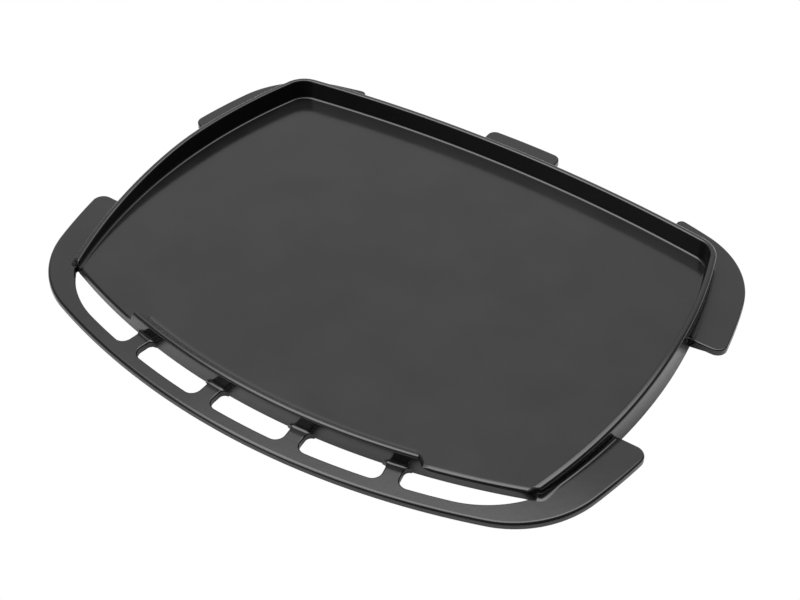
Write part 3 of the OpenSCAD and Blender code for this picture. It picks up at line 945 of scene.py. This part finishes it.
place_both("back_ear_plate", back_ear(), "back_right_ear", "back_left_ear")
cast_piece("back_tab_plate", tab_shape(), "back_tab")
cast_piece("tab_foot_fillet", tab_foot(), "back_tab")
place_both("front_foot_fillet", front_foot(), "front_right_ledge", "front_left_ledge")
back_fillet = back_band(fillet_section(OUT_LEAN), PLATE_ROUND)
place_both("back_foot_fillet", back_fillet, "back_right_ledge", "back_left_ledge")
place_both("locating_rib", back_band(rib_section(), RIB_ROUND), "back_right_rib", "back_left_rib")


def soft_studio_light():
    """White paper hung behind and left of the plate, a soft box overhead, and a dim room in front."""
    world = bpy.data.worlds.new("paper_and_soft_box")
    world.use_nodes = True
    tree = world.node_tree
    tree.nodes.clear()
    way = add_node(tree, "ShaderNodeTexCoord").outputs["Generated"]
    # How far a direction points at the paper, at the soft box, up the paper's height, and to the right
    points_at = {}
    for name, goal in (
        ("paper", (-0.85, 0.53, 0.0)),
        ("box", (0.08, -0.25, 0.965)),
        ("height", (0.0, 0.6, 0.8)),
        ("right", (1.0, 0.0, 0.0)),
    ):
        facing = add_node(tree, "ShaderNodeVectorMath", {"operation": "DOT_PRODUCT", 1: goal}, {0: way})
        points_at[name] = facing.outputs["Value"]
    # The paper is dim round the front and low down, and the box fades out at its front and left ends
    strength = {}
    for name, by, start, full, least, most in (
        ("paper_round", "paper", -0.35, 0.7, 0.1, 0.95),
        ("paper_up", "height", 0.3, 0.75, 0.2, 1.0),
        ("box", "box", 0.55, 0.8, 0.0, 5.0),
        ("box_front", "paper", -0.35, 0.1, 0.0, 1.0),
        ("box_left", "right", -0.66, -0.44, 0.0, 1.0),
    ):
        fade = add_node(
            tree,
            "ShaderNodeMapRange",
            {
                "interpolation_type": "SMOOTHSTEP",
                "From Min": start,
                "From Max": full,
                "To Min": least,
                "To Max": most,
            },
            {"Value": points_at[by]},
        )
        strength[name] = fade.outputs["Result"]
    ends = add_node(
        tree,
        "ShaderNodeMath",
        {"operation": "MULTIPLY"},
        {0: strength["box_front"], 1: strength["box_left"]},
    )
    paper = add_node(
        tree,
        "ShaderNodeMath",
        {"operation": "MULTIPLY"},
        {0: strength["paper_round"], 1: strength["paper_up"]},
    )
    both = add_node(
        tree,
        "ShaderNodeMath",
        {"operation": "MULTIPLY_ADD"},
        {0: strength["box"], 1: ends.outputs["Value"], 2: paper.outputs["Value"]},
    )
    sky = add_node(
        tree,
        "ShaderNodeBackground",
        {"Color": linear("#ffffff")},
        {"Strength": both.outputs["Value"]},
    )
    add_node(tree, "ShaderNodeOutputWorld", {}, {"Surface": sky.outputs["Background"]})
    bpy.context.scene.world = world


def table(name, material):
    """Flat table top under the plate, 8 metres square and so far bigger than the view."""
    half = 4.0
    corners = [(-half, -half, 0), (half, -half, 0), (half, half, 0), (-half, half, 0)]
    mesh = bpy.data.meshes.new(name)
    mesh.from_pydata(corners, [], [(0, 1, 2, 3)])
    mesh.materials.append(material)
    top = bpy.data.objects.new(name, mesh)
    bpy.context.scene.collection.objects.link(top)
    return top


def white_ground():
    """An even white ground to the eye, and plain paper, dim under the plate, for the enamel to mirror."""
    seen = table("glowing_table", white_table_top("backlit_opal_glass", 1.0, "#000000"))
    seen.visible_glossy = False
    seen.visible_diffuse = False
    seen.visible_shadow = False
    mirrored_paper = table("paper_in_reflections", white_table_top("matt_white_paper", 0.08, "#e0e0e0"))
    mirrored_paper.visible_camera = False


def camera_as_in_photo():
    """Camera fitted to the photo's frame, without shift."""
    data = bpy.data.cameras.new("camera")
    data.sensor_width = 36.0
    data.lens = 76.762
    camera = bpy.data.objects.new("camera", data)
    camera.location = Vector((488.53, -705.13, 771.26)) * MM
    look = Vector((19.376, -19.546, 9.7)) * MM - camera.location
    camera.rotation_euler = look.to_track_quat("-Z", "Y").to_euler()
    bpy.context.scene.collection.objects.link(camera)
    bpy.context.scene.camera = camera


white_ground()
soft_studio_light()
camera_as_in_photo()
bpy.context.scene.view_settings.view_transform = "Standard"
